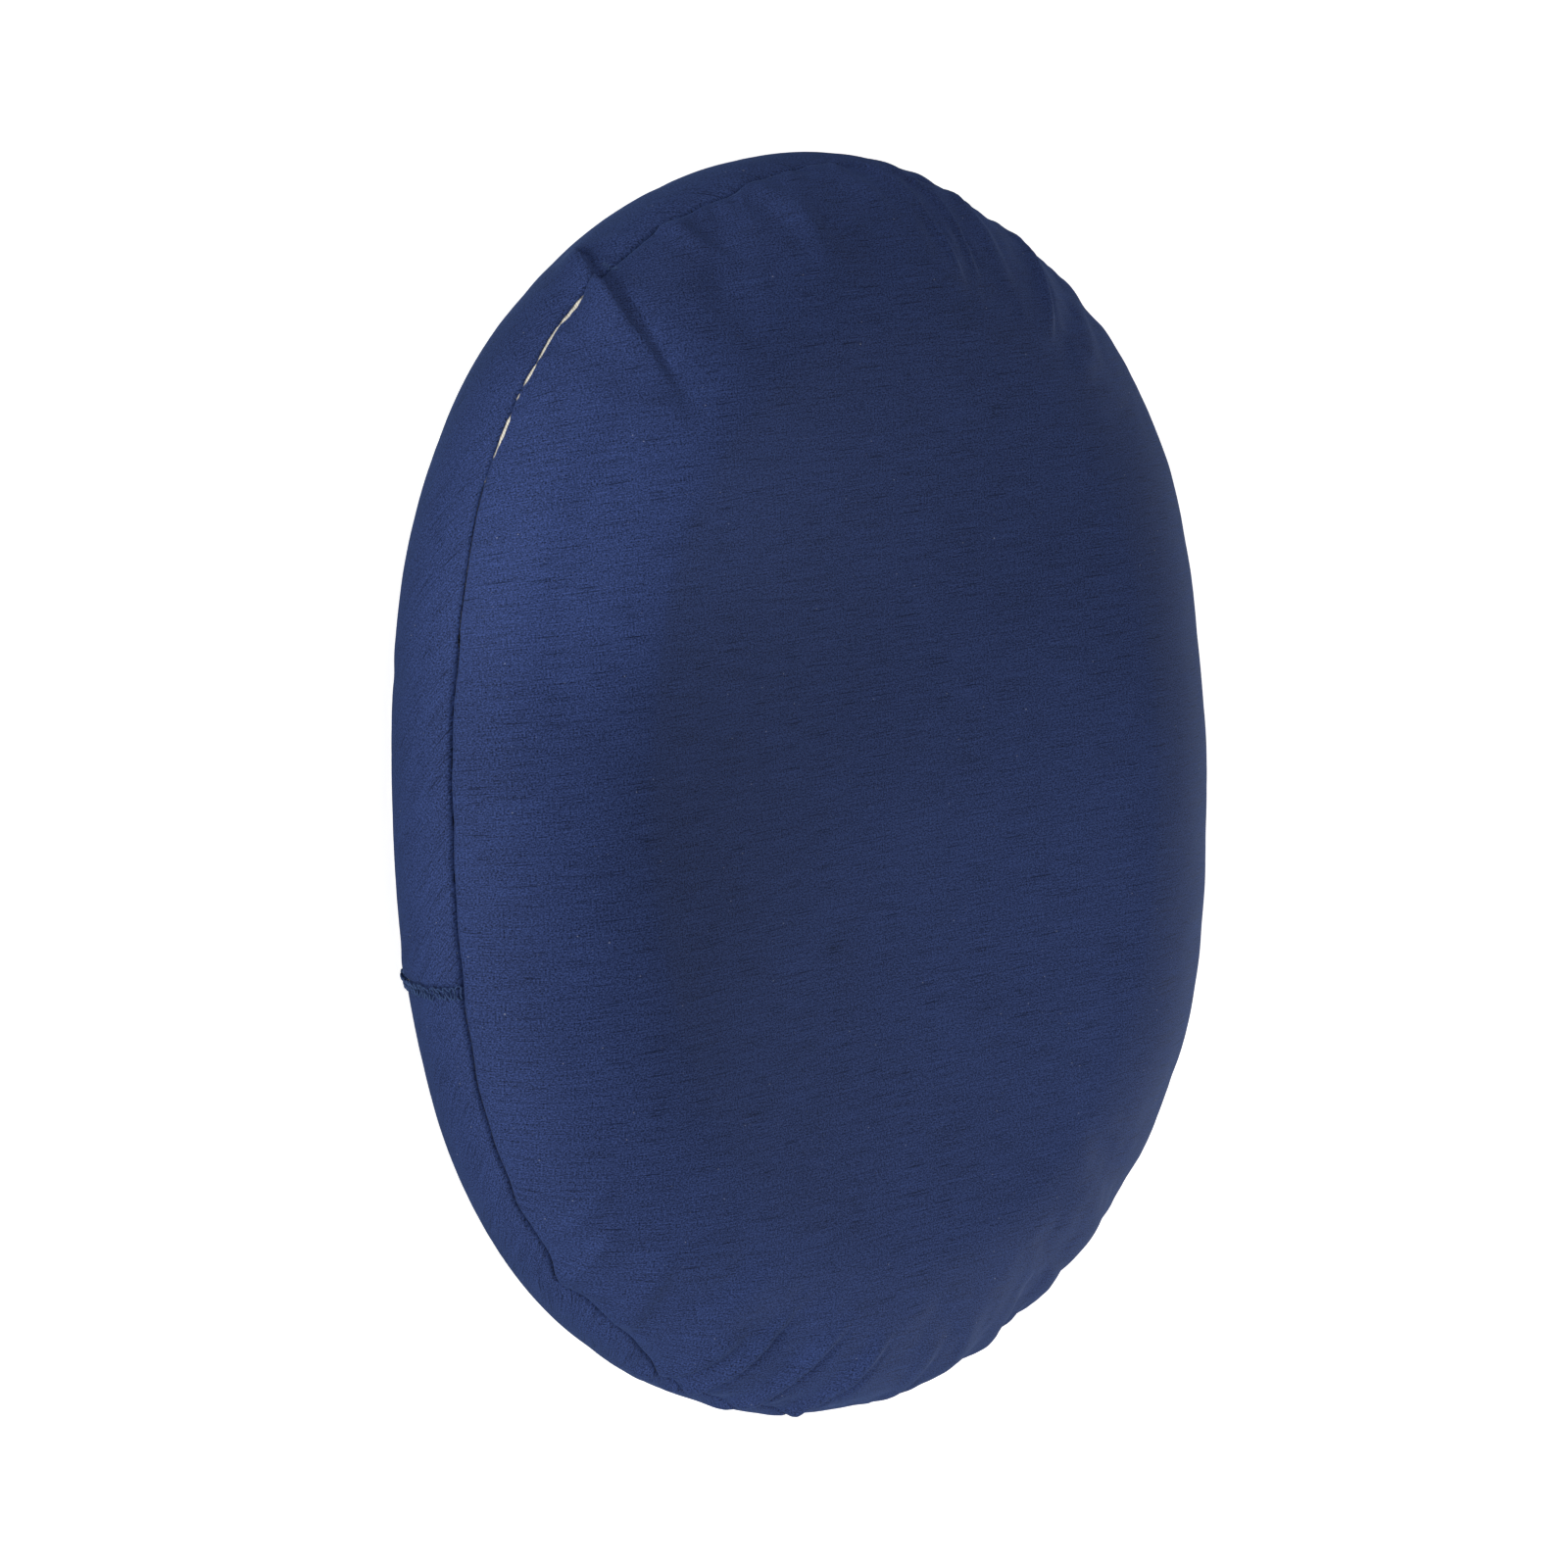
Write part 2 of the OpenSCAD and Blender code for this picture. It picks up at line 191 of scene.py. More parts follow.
SIM_COLUMNS, SIM_ROWS = 420, 150
sim_low, sim_high = foot_d - 110 * MM, crown_d + 110 * MM
SIM_FRAMES = 20
# The farthest that a point may move, and how near to a seam the cloth is held still.
SIM_CAP = 8 * MM
SEWN_REACH = 3.2 * MM
VOXEL = 4 * MM
# Waves with fewer turns than this round the outline are left out of the simulation's result.
LONG_WAVES = 7


def grid_faces(columns, rows):
    """Faces over a grid of points whose columns close into a ring."""
    i, j = np.meshgrid(np.arange(columns), np.arange(rows - 1), indexing="ij")
    k = (i + 1) % columns
    corners = [i * rows + j, k * rows + j, k * rows + j + 1, i * rows + j + 1]
    return np.stack(corners, -1).reshape(-1, 4).tolist()


def coarse_cover():
    """A closed, slightly slimmer copy of the cover, remeshed evenly for the simulation."""
    s = np.linspace(0, perimeter, 240, endpoint=False)
    d = np.linspace(foot_d - 130 * MM, crown_d + 100 * MM, 110)
    ss, dd = np.meshgrid(s, d, indexing="ij")
    points = on_cover(ss, dd, -1.0 * MM).reshape(-1, 3)
    faces = grid_faces(len(s), len(d))
    faces.append([i * len(d) for i in range(len(s))][::-1])
    faces.append([i * len(d) + len(d) - 1 for i in range(len(s))])
    mesh = bpy.data.meshes.new("stuffed")
    mesh.from_pydata([tuple(p) for p in points], [], faces)
    ball = bpy.data.objects.new("stuffed", mesh)
    bpy.context.scene.collection.objects.link(ball)
    remesh = ball.modifiers.new("even", "REMESH")
    remesh.mode = "VOXEL"
    remesh.voxel_size = VOXEL
    even = applied_mesh(ball)
    ball.modifiers.clear()
    ball.data = even
    return ball


def applied_mesh(piece):
    """A new mesh of the piece with its modifiers applied."""
    return bpy.data.meshes.new_from_object(piece.evaluated_get(bpy.context.evaluated_depsgraph_get()))


def mesh_points(mesh):
    """The mesh's vertices, one row each."""
    points = np.zeros(len(mesh.vertices) * 3)
    mesh.vertices.foreach_get("co", points)
    return points.reshape(-1, 3)


def seam_lines():
    """Points along both seams, a few millimetres apart."""
    s = np.arange(0, perimeter, 3 * MM)
    return np.concatenate([on_cover(s, np.zeros_like(s)), on_cover(s, np.full_like(s, band_d))])


def search_tree(points):
    """A tree that finds the nearest of the points."""
    tree = KDTree(len(points))
    for i, point in enumerate(points):
        tree.insert(point, i)
    tree.balance()
    return tree


def nearest_distance(points, targets):
    """The distance from each point to the nearest target."""
    tree = search_tree(targets)
    return np.array([tree.find(p)[2] for p in points])


def simulate_swelling():
    """Lift of the fabric over a grid of the cover, from a cloth inflated between its sewn seams."""
    ball = coarse_cover()
    before = mesh_points(ball.data)
    sewn = nearest_distance(before, seam_lines())
    group = ball.vertex_groups.new(name="sewn")
    for i in np.nonzero(sewn < SEWN_REACH)[0]:
        group.add([int(i)], 1.0, "REPLACE")
    cloth = ball.modifiers.new("cloth", "CLOTH")
    set_cloth(cloth.settings, group.name)
    cloth.point_cache.frame_end = SIM_FRAMES
    for frame_number in range(1, SIM_FRAMES + 1):
        bpy.context.scene.frame_set(frame_number)
    move = mesh_points(applied_mesh(ball)) - before
    bpy.context.scene.frame_set(1)
    bpy.data.objects.remove(ball)
    size = np.linalg.norm(move, axis=1, keepdims=True)
    move *= np.minimum(1, SIM_CAP / np.maximum(size, 1e-9))
    return spread_over_grid(before, move)


def set_cloth(settings, sewn_group):
    """Light, fairly stiff fabric under the foam's pressure, without gravity, held at its seams."""
    settings.quality = 6
    settings.mass = 0.12
    settings.tension_stiffness = settings.compression_stiffness = 18
    settings.shear_stiffness = 6
    settings.bending_stiffness = 0.25
    settings.use_pressure = True
    settings.uniform_pressure_force = 4
    settings.shrink_min = -0.05
    settings.vertex_group_mass = sewn_group
    settings.effector_weights.gravity = 0


def spread_over_grid(before, move):
    """The outward part of the points' moves, averaged from the nearest points to an even grid."""
    tree = search_tree(before)
    s = np.arange(SIM_COLUMNS) / SIM_COLUMNS * perimeter
    d = np.linspace(sim_low, sim_high, SIM_ROWS)
    ss, dd = np.meshgrid(s, d, indexing="ij")
    place = on_cover(ss, dd)
    outward = (on_cover(ss, dd, MM) - place) / MM
    lift = np.zeros(ss.shape)
    for i in range(SIM_COLUMNS):
        for j in range(SIM_ROWS):
            near = tree.find_n(place[i, j], 5)
            weights = np.array([1 / (n[2] + 0.5 * MM) ** 2 for n in near])
            mean = weights @ move[[n[1] for n in near]] / weights.sum()
            lift[i, j] = mean @ outward[i, j]
    return lift


def sampled(field, low, high, s, d):
    """A field over (round the outline, low to high along the section), between its grid's points."""
    columns, rows = field.shape
    x = (np.asarray(s, float) % perimeter) / perimeter * columns
    y = np.clip((np.asarray(d, float) - low) / (high - low), 0, 1) * (rows - 1)
    i, j = np.floor(x).astype(int) % columns, np.minimum(np.floor(y).astype(int), rows - 2)
    u, v, k = x - np.floor(x), y - j, (i + 1) % columns
    return ((1 - u) * ((1 - v) * field[i, j] + v * field[i, j + 1])
            + u * ((1 - v) * field[k, j] + v * field[k, j + 1]))


def without_long_waves(lift):
    """Keeps the simulation's puckers and leaves out its overall swell, which the CAD's size holds."""
    spectrum = np.fft.rfft(lift, axis=0)
    spectrum[:LONG_WAVES] = 0
    return np.fft.irfft(spectrum, SIM_COLUMNS, axis=0)


swelling = np.zeros((SIM_COLUMNS, SIM_ROWS))
swelling = without_long_waves(simulate_swelling())


# --- The relief of the fabric --------------------------------------------------------------

RING_W = 108 * MM
HOLE_CROWN_IN = 50 * MM
HOLE_FOOT_IN = 25 * MM
SEAM_DEPTH = 2.0 * MM
SEAM_REACH = 0.65 * MM
# Over the zip's slider the lips of the seam turn in less, so that it runs clear below them.
LIP_DEPTH = 0.95 * MM
LIP_REACH = 0.42 * MM
SLIDER_MIDDLE = 1020 * MM
SLIDER_REACH = 60 * MM
SLIDER_FADE = 8 * MM
# Past the gapes the lips stand a hair apart: evenly at first, then here and there as far as the
# band's join.
LOOSE_SLIT = 0.22 * MM
LOOSE_FROM = -130 * MM
CLOSED_SLIT = 0.16 * MM
CLOSED_FROM = 1020 * MM
CLOSED_TO = 1092 * MM
PLUMP = 0.5 * MM
DIP = 7.5 * MM
# How much the underside sinks, as a share of the top's dip.
DIP_BELOW = 0.25
PUCKERS = 190
RELIEF_STEP = 0.7 * MM
ZIP_END_S = arc_ends[3] + (ZIP_CLOSED_A - join_a) * end_r

# The folds that show, each with the line of its crest as (mm round from the band's join, mm above
# the seam), then its width and height in mm, and how steep it is, as fold() takes it.
FOLDS = [
    ([(936, -22), (942, -8), (948, 0), (956, 16), (961, 28)], 7, 3.0, 0.13),
    ([(942, -8), (948, 0), (956, 16), (962, 30), (970, 50)], 9, 1.6, 0.3),
    ([(916, -4), (914, 12), (908, 34)], 5, 1.0, 0.6),
    ([(882, -4), (876, 16), (868, 38)], 7, 0.9, 0.7),
    ([(846, -6), (842, 10), (828, 36)], 7, 1.2, 0.6),
    ([(834, -6), (829, 5), (816, 20), (795, 52)], 3.6, 1.7, 0.4),
    ([(821, -6), (816, 3), (800, 14), (786, 48)], 3.4, 1.6, 0.4),
    ([(792, -10), (782, 12), (768, 42)], 6, 0.8, 0.45),
    ([(754, -6), (748, 22), (740, 54)], 4.5, 1.7, 0.4),
    ([(722, -6), (720, 26), (714, 50)], 8, 0.8, 0.6),
    ([(84, -2), (84, 12), (74, 36)], 5, 0.8, 0.7),
    ([(108, -3), (98, 14), (88, 30)], 5, 1.0, 0.6),
    ([(134, -4), (124, 16), (112, 38)], 7, 1.2, -0.6),
    ([(154, -14), (160, 10), (164, 34)], 4, 2.2, -0.45),
    ([(169, -14), (172, 10), (180, 50)], 4.5, 2.6, -0.4),
    ([(190, -14), (197, 14), (209, 48)], 4.5, 2.6, -0.4),
    ([(212, -12), (221, 14), (234, 44)], 4.5, 2.2, -0.45),
    ([(252, -8), (258, 14), (264, 38)], 7, 1.3, -0.4),
    ([(298, -12), (304, 10), (312, 36)], 8, 1.5, -0.4),
    ([(334, -6), (333, 16), (328, 40)], 8, 1.1, -0.5),
]

# Where the zipped seam gapes and shows the pale tape: middle, half length and width in mm.
GAPES = [(961, 8, 1.5), (974.5, 9.5, 1.0), (986.8, 5, 1.1),
         (995, 1.4, 0.6), (1007, 7, 1.2), (1014.5, 2, 0.6)]
# Where the seam steps aside from its even line: middle, half length and step in mm.
STEPS = [(884, 55, 5.3), (916, 4, -1.6), (1060, 24, 1.8), (30, 48, -2.4), (72, 6, -1.0),
         (104, 6, -3.8), (131, 18, 3.6), (160, 7, -1.5), (180, 12, -3.2)]
# Where the gathers draw the shoulder in: middle, half length and depth in mm.
DRAWN_IN = [(752, 62, 3.8), (335, 52, 2.2)]
# The stretched shoulder is a little flat everywhere, and flattest beside the zip.
FACET_FROM = 13 * MM
FACET_DEPTH = 0.6 * MM
ZIP_FACET_DEPTH = 1.8 * MM
ZIP_FACET_MIDDLE = 1028 * MM
ZIP_FACET_REACH = 62 * MM


def waves(s, seed, count, low, high):
    """A smooth seeded wave round the outline, between about -1 and 1, of count terms."""
    random = np.random.default_rng(seed)
    turns = random.integers(low, high, count)
    phases = random.uniform(0, 2 * math.pi, count)
    total = sum(np.sin(2 * math.pi * k * s / perimeter + p) for k, p in zip(turns, phases))
    return total / math.sqrt(count)


def seam_step(s):
    """How far the top seam wanders up the shoulder from its even line."""
    step = (0.25 + 0.3 * at_ends(s)) * MM * waves(s, 3, 12, 8, 60)
    for middle, half, size in STEPS:
        step = step + size * MM * bump(wrapped(s - middle * MM) / (half * MM))
    return step


def gape(s):
    """Half the width of the gap between the seam's two edges."""
    loose = ramp(wrapped(s - LOOSE_FROM) / (20 * MM)) * ramp(-wrapped(s) / (10 * MM))
    closed = ramp(wrapped(s - CLOSED_FROM) / (6 * MM)) * ramp(-wrapped(s - CLOSED_TO) / (10 * MM))
    width = LOOSE_SLIT * ramp(waves(s, 5, 14, 60, 220)) * loose + CLOSED_SLIT * closed
    rough = 1 + 0.16 * waves(s, 6, 10, 150, 420)
    for middle, half, size in GAPES:
        away = np.abs(wrapped(s - middle * MM)) / (half * MM)
        width = width + size / 2 * MM * rough * ramp(1.6 - 1.6 * away)
    return np.maximum(width, 0)


def add_puckers(field, s, d):
    """Adds many small random folds that run out of the seam, longer and deeper at the oval's ends."""
    random = np.random.default_rng(11)
    step = perimeter / len(s)
    centres = np.linspace(0, perimeter, PUCKERS, endpoint=False) + random.normal(0, 2.5 * MM, PUCKERS)
    for centre in centres:
        strength = 0.14 + 0.86 * float(at_ends(np.array(centre)))
        length = random.uniform(8, 26) * MM * (0.5 + 0.5 * strength)
        width = random.uniform(2.0, 4.6) * MM
        height = random.uniform(0.25, 0.95) * MM * strength
        slant = random.normal(0, 0.35)
        side = random.choice([1, 1, 1, -1])
        reach = int((4 * width + abs(slant) * length) / step)
        near = (int(centre / step) + np.arange(-reach, reach + 1)) % len(s)
        u = wrapped(s[near, None] - centre - slant * d[None]) / width
        rise = side * d[None] / length
        along = ramp(rise * 6) * ramp(1 - rise) * (rise > 0)
        field[near] += height * along * (bump(u) - 0.5 * bump((u - 1.5) / 0.8))


def dip(s, d):
    """The hollow where the cover sinks between the foam ring's crests, deepest over its open middle."""
    point = on_cover(s, d)
    r = np.hypot(point[..., 0] / (half_w - CROWN_IN), point[..., 1] / (half_l - CROWN_IN))
    bowl = 1 - 0.55 * ramp((r - 0.15) / 0.9) - 0.45 * np.minimum(r / 1.03, 1) ** 2
    return np.where(d > 0, DIP, DIP_BELOW * DIP) * np.maximum(bowl, 0)


def drawn_in(s, d):
    """How far the gathers pull the shoulder in, on the side away from the zip."""
    depth = 0
    for middle, half, size in DRAWN_IN:
        depth = depth + size * MM * bump(wrapped(s - middle * MM) / (half * MM))
    return depth * bump((d - 14 * MM) / (34 * MM))


def facet(s, d):
    """How far the stretched shoulder lies under its full round, flattest beside the zip."""
    x = np.clip((d - FACET_FROM) / (crown_d - FACET_FROM), 0, 1)
    across = np.sin(math.pi * x) * ramp(2.5 * x)
    beside_zip = bump(wrapped(s - ZIP_FACET_MIDDLE) / ZIP_FACET_REACH)
    return (FACET_DEPTH + ZIP_FACET_DEPTH * beside_zip) * across


def over_slider(s):
    """1 along the stretch of the seam that the zip's slider runs under, and 0 elsewhere."""
    return ramp((SLIDER_REACH - np.abs(wrapped(s - SLIDER_MIDDLE))) / SLIDER_FADE)


def crease_depth(s, d):
    """How deep the fabric turns into the top seam: less where it gapes or covers the slider."""
    depth = SEAM_DEPTH * (1 + 0.4 * at_ends(s)) * (1 - 0.6 * np.minimum(gape(s) / (0.6 * MM), 1))
    lips = over_slider(s)
    depth = np.minimum(depth, SEAM_DEPTH - (SEAM_DEPTH - LIP_DEPTH) * lips)
    return depth * np.exp(-np.abs(d) / (SEAM_REACH - (SEAM_REACH - LIP_REACH) * lips))


def make_relief():
    """The lift of all folds, puckers and swellings over a grid of the cover."""
    s = np.arange(0, perimeter, RELIEF_STEP)
    s = s * perimeter / (s[-1] + RELIEF_STEP)
    d = np.arange(relief_low, relief_high, RELIEF_STEP)
    ss, dd = np.meshgrid(s, d, indexing="ij")
    ends = at_ends(s)[:, None]
    field = PLUMP * (1 + 0.6 * ends) * ramp((np.abs(dd) - 1.0 * MM) / (7 * MM)) * bump(dd / (24 * MM))
    field -= drawn_in(ss, dd) + facet(ss, dd)
    add_puckers(field, s, d)
    for crest, width, height, steep in FOLDS:
        field += fold(ss, dd, crest, width, height, steep)
    share = np.where(dd > 0, 0.06 + 0.34 * ends, 0.04 + 0.06 * ends)
    field += share * sampled(swelling, sim_low, sim_high, ss, dd)
    slow = waves(s, 8, 8, 4, 14)[:, None]
    field += 0.35 * MM * slow * ramp(np.abs(dd) / (12 * MM)) * bump(dd / (60 * MM))
    field *= ramp((relief_high - dd) / (12 * MM))
    return field


relief_low, relief_high = band_d - 8 * MM, crown_d + 40 * MM
relief_field = make_relief()


def relief(s, d):
    """How far the fabric stands off its plain surface."""
    s, d = np.broadcast_arrays(np.asarray(s, float), np.asarray(d, float))
    return sampled(relief_field, relief_low, relief_high, s, d) - crease_depth(s, d) - dip(s, d)


def on_fabric(s, d, lift=0.0, edge=0):
    """A point of the sewn cover. edge is 1 for the top panel's side of the seam, -1 for the band's."""
    near = np.exp(-np.abs(d) / (13 * MM))
    lip = np.exp(-np.abs(d) / (3 * MM))
    place = d + seam_step(s) * near + edge * gape(s) * lip
    return on_cover(s, place, relief(s, d) + lift)


# --- Meshes --------------------------------------------------------------------------------


def new_piece(name, points, faces):
    """A smooth-shaded piece on the cushion's body."""
    mesh = bpy.data.meshes.new(name)
    mesh.from_pydata([tuple(p) for p in points], [], [tuple(f) for f in faces])
    mesh.update()
    mesh.shade_smooth()
    piece = bpy.data.objects.new(name, mesh)
    bpy.context.scene.collection.objects.link(piece)
    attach(piece, "cushion")
    return piece


def strip_faces(n, below, above, wrap=True):
    """Faces between two rings of n vertices each, or two open rows of them without wrap."""
    count = n if wrap else n - 1
    a = np.arange(count)
    b = (a + 1) % n
    return np.stack([below + a, below + b, above + b, above + a], -1).tolist()


def halving_faces(n, below, above):
    """Faces from a ring of n vertices to a ring of half as many."""
    half = n // 2
    j = np.arange(half)
    k = (j + 1) % half
    left, middle, right = below + 2 * j, below + 2 * j + 1, below + (2 * j + 2) % n
    inner, following = above + j, above + k
    return (np.stack([left, middle, inner], -1).tolist()
            + np.stack([middle, following, inner], -1).tolist()
            + np.stack([middle, right, following], -1).tolist())


def cloth_coordinates(piece, coordinates):
    """Stores each point's place on the flat cut cloth, in metres, for the weave."""
    data = piece.data.attributes.new("cloth", "FLOAT_VECTOR", "POINT").data
    flat = np.zeros((len(coordinates), 3), np.float32)
    flat[:, :2] = coordinates
    data.foreach_set("vector", flat.ravel())


def panel_cut(s, d, side):
    """The flat cut's own coordinates for a panel: straight across the face, unrolled at the edge."""
    point, out = outline(s)
    edge_in, edge_d = (CROWN_IN, crown_d) if side > 0 else (FOOT_IN, -foot_d)
    ring = point - out * edge_in
    over = np.maximum(side * d - edge_d, 0)
    inner = ring * (1 - over / np.linalg.norm(ring, axis=-1))[..., None]
    return inner + out * np.maximum(edge_d - side * d, 0)[..., None]


def lower_crease(d):
    """How deep the fabric turns into the lower seam."""
    return SEAM_DEPTH * np.exp(-np.abs(d - band_d) / SEAM_REACH)


def lower_relief(s, d):
    """The bottom panel lies flat where the cushion rests, and its seam is drawn in all round."""
    uneven = 0.25 * MM * waves(s, 21, 10, 20, 90) * bump((d - band_d) / (14 * MM))
    return -lower_crease(d) - dip(s, d) + uneven


# The band's join: the valley and the loops stand a little past the outline's start.
JOIN_S = 1 * MM
JOIN_DEPTH = 1.0 * MM
JOIN_REACH = 1.9 * MM
LAP = 0.7 * MM
# A small kink in the band, under the zip.
KINK_S, KINK_D = 1086 * MM, -27 * MM
KINK_DEPTH = 0.8 * MM


def join_groove(s):
    """The narrow valley between the band's two ends, under the overlock loops."""
    return JOIN_DEPTH * bump(wrapped(s - JOIN_S) / JOIN_REACH)


def band_lift(s, d):
    """The band's own relief: the lower seam's crease, the kink and the join of its two ends."""
    into_band = ramp((d - band_d) / (6 * MM)) * ramp(-d / (4 * MM))
    lap = LAP * bump(wrapped(s - perimeter + 3 * MM) / (6 * MM)) * (s % perimeter > perimeter / 2)
    kink = KINK_DEPTH * bump(wrapped(s - KINK_S) / (4 * MM)) * bump((d - KINK_D) / (10 * MM))
    return -lower_crease(d) + into_band * (lap - kink - join_groove(s))


# The distance of each row of vertices from a seam: close together at first, then evenly spaced.
SEAM_ROWS = np.array([0, 0.2, 0.45, 0.8, 1.2, 1.7, 2.3, 3.0, 3.8, 4.6]) * MM
SEAM_ROWS_END = 5.6 * MM
EDGE_ROW_STEP = 1.15 * MM
COLUMNS = 1184
# A face keeps one column in so many, up to each share of the way to its middle.
THINNING = [(0.02, 1), (0.45, 2), (0.8, 4), (0.93, 8), (1, 16)]


def columns_at(share):
    """The number of columns at a share of the way across a face to its middle."""
    return COLUMNS // next(keep for limit, keep in THINNING if share < limit)


def panel_rows(edge):
    """A panel's rows: distance from the seam, or None on the face, then share of the face, columns."""
    rows = [(distance, 0, COLUMNS) for distance in SEAM_ROWS]
    rows += [(distance, 0, COLUMNS) for distance in np.arange(SEAM_ROWS_END, edge, EDGE_ROW_STEP)]
    face = np.concatenate([np.linspace(0, 0.5, 30)[:-1], np.linspace(0.5, 0.99, 22)])
    return rows + [(None, share, columns_at(share)) for share in face]


def row_place(distance, share, s, side):
    """How far along the section each vertex of a panel's row lies."""
    if distance is not None:
        return np.full(len(s), (0 if side > 0 else band_d) + side * distance)
    edge_in, edge_d = (CROWN_IN, crown_d) if side > 0 else (FOOT_IN, foot_d)
    point, out = outline(s)
    return edge_d + side * share * np.linalg.norm(point - out * edge_in, axis=-1)


def make_panel(name, side):
    """A panel's fabric from its seam over the edge to the middle. side is 1 on top and -1 below."""
    points, cuts, faces, offset, last = [], [], [], 0, None
    for distance, share, n in panel_rows(crown_d if side > 0 else band_d - foot_d):
        s = np.arange(n) / n * perimeter
        d = row_place(distance, share, s, side)
        points.append(on_fabric(s, d, edge=1) if side > 0 else on_cover(s, d, lower_relief(s, d)))
        cuts.append(panel_cut(s, d, side))
        if last is not None:
            make = strip_faces if last[0] == n else halving_faces
            faces += make(last[0], last[1], offset)
        last = (n, offset)
        offset += n
    middle = np.mean(points[-1], axis=0)
    faces += [(last[1] + i, last[1] + (i + 1) % last[0], offset) for i in range(last[0])]
    if side < 0:
        faces = [tuple(reversed(f)) for f in faces]
    piece = new_piece(name, np.concatenate(points + [middle[None]]), faces)
    cloth_coordinates(piece, np.concatenate(cuts + [[[0, 0]]]))
    return piece


def make_band(name):
    """The band's strip, from the top seam down to the lower one, with its two ends at the join."""
    between = np.linspace(-SEAM_ROWS_END, band_d + SEAM_ROWS_END, 40)
    down = np.concatenate([-SEAM_ROWS, between, band_d + SEAM_ROWS[::-1]])
    n = COLUMNS + 1
    s = np.linspace(0, perimeter, n)
    points, faces = [], []
    for i, d in enumerate(down):
        points.append(on_fabric(s, np.full(n, d), band_lift(s, d), edge=-1))
        if i:
            faces += strip_faces(n, i * n, (i - 1) * n, wrap=False)
    piece = new_piece(name, np.concatenate(points), faces)
    cuts = np.stack(np.broadcast_arrays(s[None, :], down[:, None]), -1).reshape(-1, 2)
    cloth_coordinates(piece, cuts)
    return piece


# The foam stands clear of the fabric's creases, and its outer edge is a little fuller than an arc.
FOAM_GAP = 5 * MM
FOAM_EDGE = 1.2
# The quarters of the ring's section: whether beside the hole, whether above the waist, and the
# width that is rounded.
FOAM_QUARTERS = [(False, True, CROWN_IN), (True, True, HOLE_CROWN_IN),
                 (True, False, HOLE_FOOT_IN), (False, False, FOOT_IN)]


def foam_section(turns):
    """The ring's section as points of inset and height, all the way round."""
    a = np.linspace(0, math.pi / 2, turns, endpoint=False)
    quarters = []
    for inner, upper, reach in FOAM_QUARTERS:
        start, way = (RING_W, -1) if inner else (FOAM_GAP, 1)
        rise = cushion_h - WAIST_H - FOAM_GAP if upper else FOAM_GAP - WAIST_H
        power = 1.0 if inner else FOAM_EDGE
        inset = start + way * reach * (1 - np.cos(a) ** power)
        quarter = np.stack([inset, WAIST_H + rise * np.sin(a) ** power], -1)
        quarters.append(quarter if inner != upper else quarter[::-1])
    return np.concatenate(quarters)


def make_foam(name):
    """The moulded foam ring, with the slight unevenness of foam."""
    section_points = foam_section(22)
    s = np.linspace(0, perimeter, 360, endpoint=False)
    point, out = outline(s)
    uneven = 0.3 * MM * waves(s, 31, 10, 3, 40)
    rings = []
    for inset, height in section_points:
        ring = point - out * (inset + uneven)[:, None]
        rings.append(np.concatenate([ring, np.full((len(s), 1), height)], -1))
    count, faces = len(section_points), []
    for i in range(count):
        faces += strip_faces(len(s), i * len(s), (i + 1) % count * len(s))
    return new_piece(name, np.concatenate(rings), faces)


# The sides of a thread's tube, how thin its ends are, and a direction that no thread follows.
TUBE_SIDES = 6
TUBE_END = 0.35
TUBE_ASIDE = np.array([0.36, 0.48, 0.8])


def tube(path, radius):
    """Vertices and faces of a round thread along a list of points, with thin closed ends."""
    path = np.asarray(path, float)
    ahead = np.roll(path, -1, axis=0) - np.roll(path, 1, axis=0)
    ahead[0] = path[1] - path[0]
    ahead[-1] = path[-1] - path[-2]
    ahead /= np.linalg.norm(ahead, axis=1, keepdims=True)
    across = np.cross(ahead, TUBE_ASIDE)
    across /= np.linalg.norm(across, axis=1, keepdims=True)
    other = np.cross(ahead, across)
    turn = np.arange(TUBE_SIDES) / TUBE_SIDES * 2 * math.pi
    size = np.full(len(path), radius)
    size[[0, -1]] *= TUBE_END
    ring = np.cos(turn)[None, :, None] * across[:, None] + np.sin(turn)[None, :, None] * other[:, None]
    points = (path[:, None] + ring * size[:, None, None]).reshape(-1, 3)
    faces = []
    for i in range(len(path) - 1):
        faces += strip_faces(TUBE_SIDES, i * TUBE_SIDES, (i + 1) * TUBE_SIDES)
    faces.append(list(range(TUBE_SIDES))[::-1])
    faces.append([(len(path) - 1) * TUBE_SIDES + k for k in range(TUBE_SIDES)])
    return points, faces


def threads_piece(name, paths, radius):
    """One piece of many short threads, one along each path."""
    points, faces, offset = [], [], 0
    for path in paths:
        some, those = tube(path, radius)
        points.append(some)
        faces += [[v + offset for v in f] for f in those]
        offset += len(some)
    return new_piece(name, np.concatenate(points), faces)


STITCH_PITCH = 2.9 * MM


def stitches(first, last, place, bulge):
    """Short threads end to end along a seam. place(s, lift) gives the points of the seam's crease."""
    paths = []
    for start in np.arange(first, last, STITCH_PITCH):
        s = start + np.linspace(0.05, 0.9, 6) * STITCH_PITCH
        rise = bulge * np.sin(np.linspace(0, math.pi, 6))
        paths.append(place(s, rise))
    return paths


def top_crease(s, rise):
    """A point over the bottom of the top seam's crease."""
    return on_fabric(s, np.zeros_like(s), 0.15 * MM + 0.6 * rise)


def lower_crease_line(s, rise):
    """A point in the lower seam's crease."""
    return on_cover(s, np.full_like(s, band_d), -1.0 * MM + rise)


